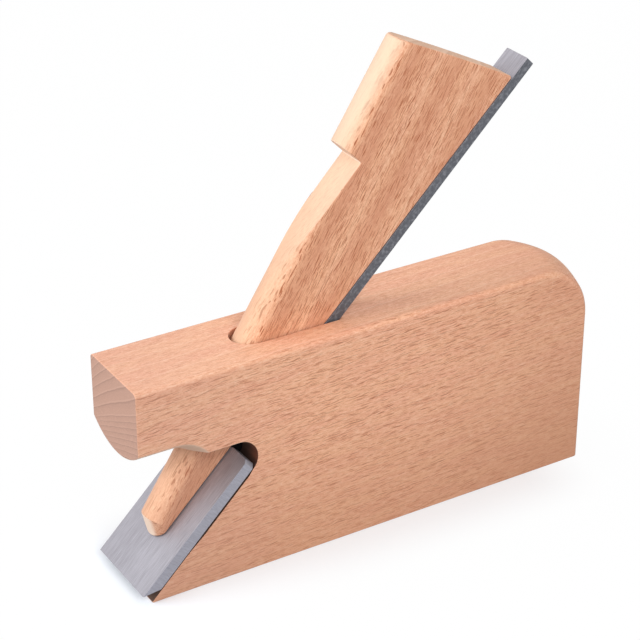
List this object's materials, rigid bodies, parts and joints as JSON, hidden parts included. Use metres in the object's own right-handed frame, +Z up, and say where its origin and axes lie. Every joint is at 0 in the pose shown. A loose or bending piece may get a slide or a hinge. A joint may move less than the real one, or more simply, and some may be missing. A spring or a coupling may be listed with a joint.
{
  "type": "rabbet plane",
  "caption": "Wooden rabbet plane with an open front: a beech stock with a square sole, a full-width iron with a narrow tang, and a notched wedge that holds the iron.",
  "frame": {"origin": "middle of the flat sole, midway between the toe and the heel and between the two side faces", "axes": "+Z up from the sole, +X from the nose and the cutting edge towards the heel, +Y towards the far side face"},
  "size_m": [0.1666, 0.03, 0.1615],
  "materials": {
    "stock_beech": "planed and thinly oiled beech, short dark rays along the grain",
    "iron_steel": "ground blade, bright rolled tang with mottled dark edges",
    "wedge_beech": "sawn and sanded beech"
  },
  "bodies": {
    "stock": {"stock": "stock_beech"},
    "iron": {"iron": "iron_steel"},
    "wedge": {"wedge": "wedge_beech"}
  },
  "joints": [
    {"name": "iron_slide", "type": "slide", "parent": "stock", "child": "iron", "axis": [0.7071, 0, 0.7071], "range_m": [-0.0064, 0.0004]},
    {"name": "wedge_slide", "type": "slide", "parent": "stock", "child": "wedge", "axis": [0.7095, 0, 0.7047], "range_m": [0, 0.072]}
  ]
}
